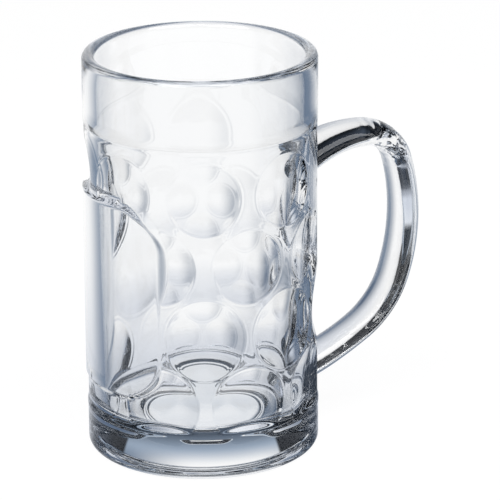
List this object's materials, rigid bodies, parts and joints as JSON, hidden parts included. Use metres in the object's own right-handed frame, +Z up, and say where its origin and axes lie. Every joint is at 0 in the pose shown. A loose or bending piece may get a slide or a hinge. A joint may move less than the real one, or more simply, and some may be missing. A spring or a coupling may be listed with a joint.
{
  "type": "glass mug",
  "caption": "Clear pressed-glass beer mug with a plain rim band, staggered round thumb-print dimples, a plain label panel opposite the solid ear handle and a thick foot.",
  "frame": {"origin": "middle of the flat underside of the foot, on the vessel's axis", "axes": "+Z up along the vessel's axis, +X towards the handle, -X towards the label panel"},
  "size_m": [0.1347, 0.088, 0.1545],
  "materials": {
    "vessel_glass": "fire-polished clear pressed glass",
    "handle_glass": "fire-polished clear pressed glass"
  },
  "bodies": {
    "root": {"vessel": "vessel_glass", "handle": "handle_glass"}
  },
  "joints": []
}
